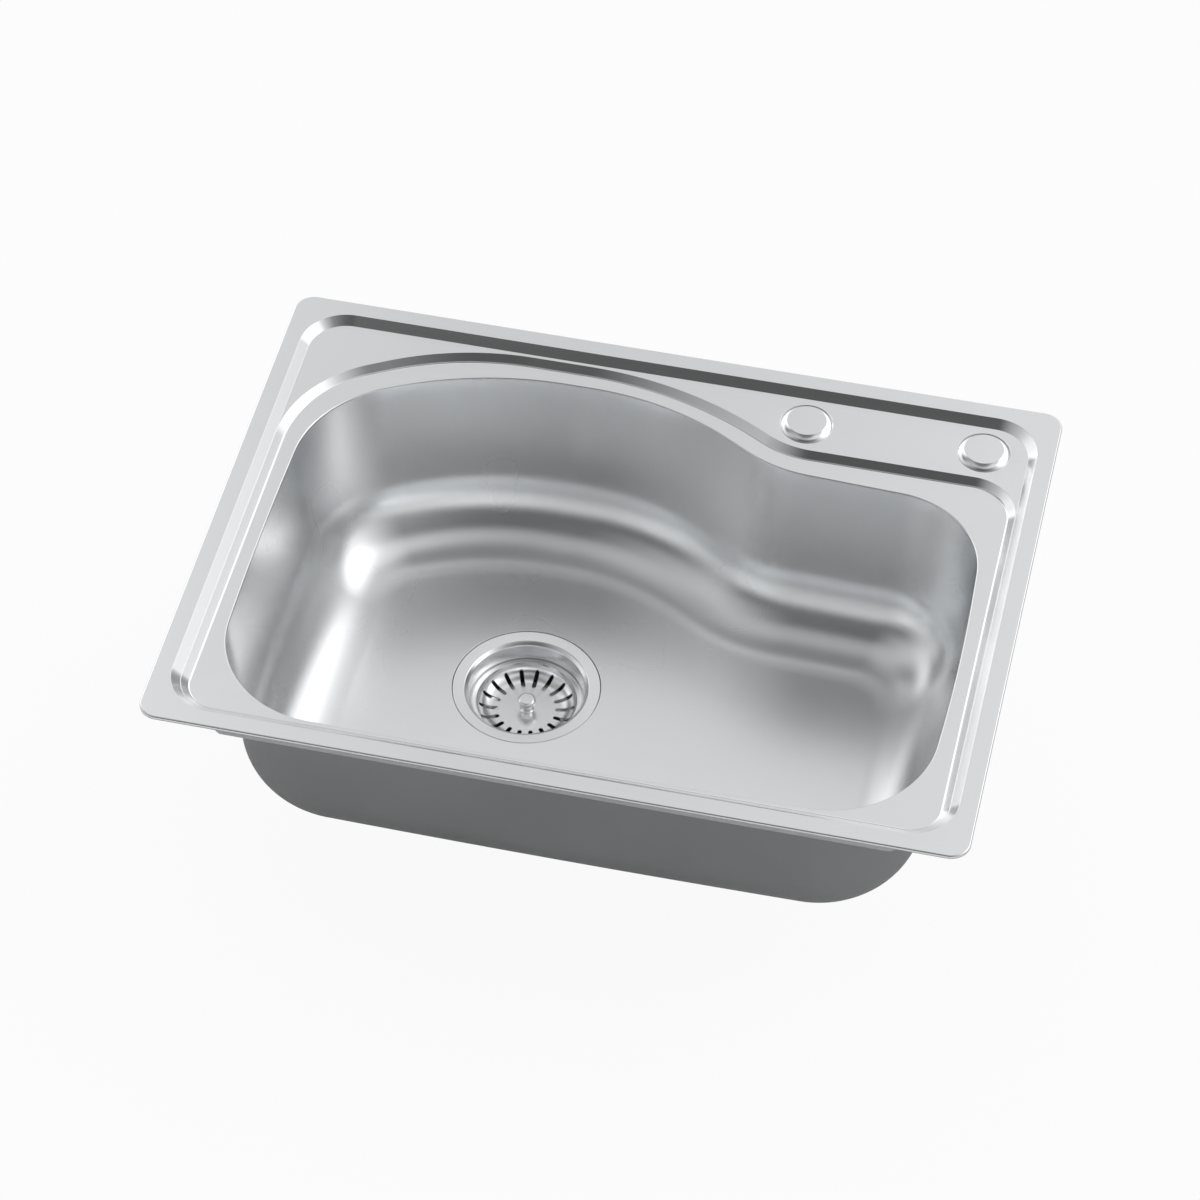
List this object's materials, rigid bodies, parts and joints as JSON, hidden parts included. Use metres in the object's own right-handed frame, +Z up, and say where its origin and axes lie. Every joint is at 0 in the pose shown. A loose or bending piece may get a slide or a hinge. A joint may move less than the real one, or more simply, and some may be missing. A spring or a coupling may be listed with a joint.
{
  "type": "inset kitchen sink",
  "caption": "Inset kitchen sink in brushed steel: stepped deck, kidney-shaped bowl, covered tap holes, basket strainer waste, fixing rails and swing-out clips.",
  "frame": {"origin": "centre of the rim, on the worktop's surface, where the rim's seal rests", "axes": "+X to the right along the rim's length, +Y to the back where the taps stand, +Z up"},
  "size_m": [0.61, 0.45, 0.2895],
  "materials": {
    "stainless": "satin, fine brushed grain",
    "zinc_steel": "bright zinc plate",
    "galvanised": "galvanised sheet",
    "seal_rubber": "matt rubber strip",
    "rubber": "moulded rubber",
    "damping": "matt damping sheet",
    "white_plastic": "moulded polypropylene"
  },
  "bodies": {
    "sink": {"deck": "stainless", "bowl": "stainless", "rim_seal": "seal_rubber", "damping_pad": "damping", "strainer_body": "stainless", "flange_gasket": "rubber", "outlet_gasket": "rubber", "friction_ring": "white_plastic", "lock_nut": "zinc_steel", "tail_washer": "rubber", "tailpiece": "white_plastic", "coupling_nut": "white_plastic", "front_rail": "galvanised", "back_rail": "galvanised", "clip_brackets": "galvanised"},
    "tap_cover": {"tap_cover_cap": "stainless", "tap_cover_plug": "white_plastic"},
    "spare_cover": {"spare_cover_cap": "stainless", "spare_cover_plug": "white_plastic"},
    "basket": {"basket": "stainless", "knob_guide": "stainless", "grip_ring": "zinc_steel"},
    "stopper": {"knob": "stainless", "stem": "zinc_steel", "stopper_plate": "stainless", "stopper_disc": "rubber", "stem_nut": "zinc_steel"},
    "left_front_screw": {"clip_screw_left_front": "zinc_steel"},
    "left_front_claw": {"clip_claw_left_front": "galvanised"},
    "left_back_screw": {"clip_screw_left_back": "zinc_steel"},
    "left_back_claw": {"clip_claw_left_back": "galvanised"},
    "right_front_screw": {"clip_screw_right_front": "zinc_steel"},
    "right_front_claw": {"clip_claw_right_front": "galvanised"},
    "right_back_screw": {"clip_screw_right_back": "zinc_steel"},
    "right_back_claw": {"clip_claw_right_back": "galvanised"}
  },
  "joints": [
    {"name": "tap_cover_lift", "type": "slide", "parent": "sink", "child": "tap_cover", "axis": [0, 0, 1], "range_m": [0, 0.04]},
    {"name": "spare_cover_lift", "type": "slide", "parent": "sink", "child": "spare_cover", "axis": [0, 0, 1], "range_m": [0, 0.04]},
    {"name": "basket_lift", "type": "slide", "parent": "sink", "child": "basket", "axis": [0, 0, 1], "range_m": [0, 0.07]},
    {"name": "stopper_lift", "type": "slide", "parent": "basket", "child": "stopper", "axis": [0, 0, 1], "range_m": [0, 0.008]},
    {"name": "left_front_screw_travel", "type": "slide", "parent": "sink", "child": "left_front_screw", "axis": [0, 0, 1], "range_m": [0, 0.014]},
    {"name": "left_front_claw_swing", "type": "hinge", "parent": "left_front_screw", "child": "left_front_claw", "pos_m": [-0.285, -0.12, -0.0568], "axis": [0, 0, 1], "range_deg": [0, 90]},
    {"name": "left_back_screw_travel", "type": "slide", "parent": "sink", "child": "left_back_screw", "axis": [0, 0, 1], "range_m": [0, 0.014]},
    {"name": "left_back_claw_swing", "type": "hinge", "parent": "left_back_screw", "child": "left_back_claw", "pos_m": [-0.285, 0.045, -0.0568], "axis": [0, 0, -1], "range_deg": [0, 90]},
    {"name": "right_front_screw_travel", "type": "slide", "parent": "sink", "child": "right_front_screw", "axis": [0, 0, 1], "range_m": [0, 0.014]},
    {"name": "right_front_claw_swing", "type": "hinge", "parent": "right_front_screw", "child": "right_front_claw", "pos_m": [0.285, -0.12, -0.0568], "axis": [0, 0, -1], "range_deg": [0, 90]},
    {"name": "right_back_screw_travel", "type": "slide", "parent": "sink", "child": "right_back_screw", "axis": [0, 0, 1], "range_m": [0, 0.014]},
    {"name": "right_back_claw_swing", "type": "hinge", "parent": "right_back_screw", "child": "right_back_claw", "pos_m": [0.285, 0.045, -0.0568], "axis": [0, 0, 1], "range_deg": [0, 90]}
  ]
}
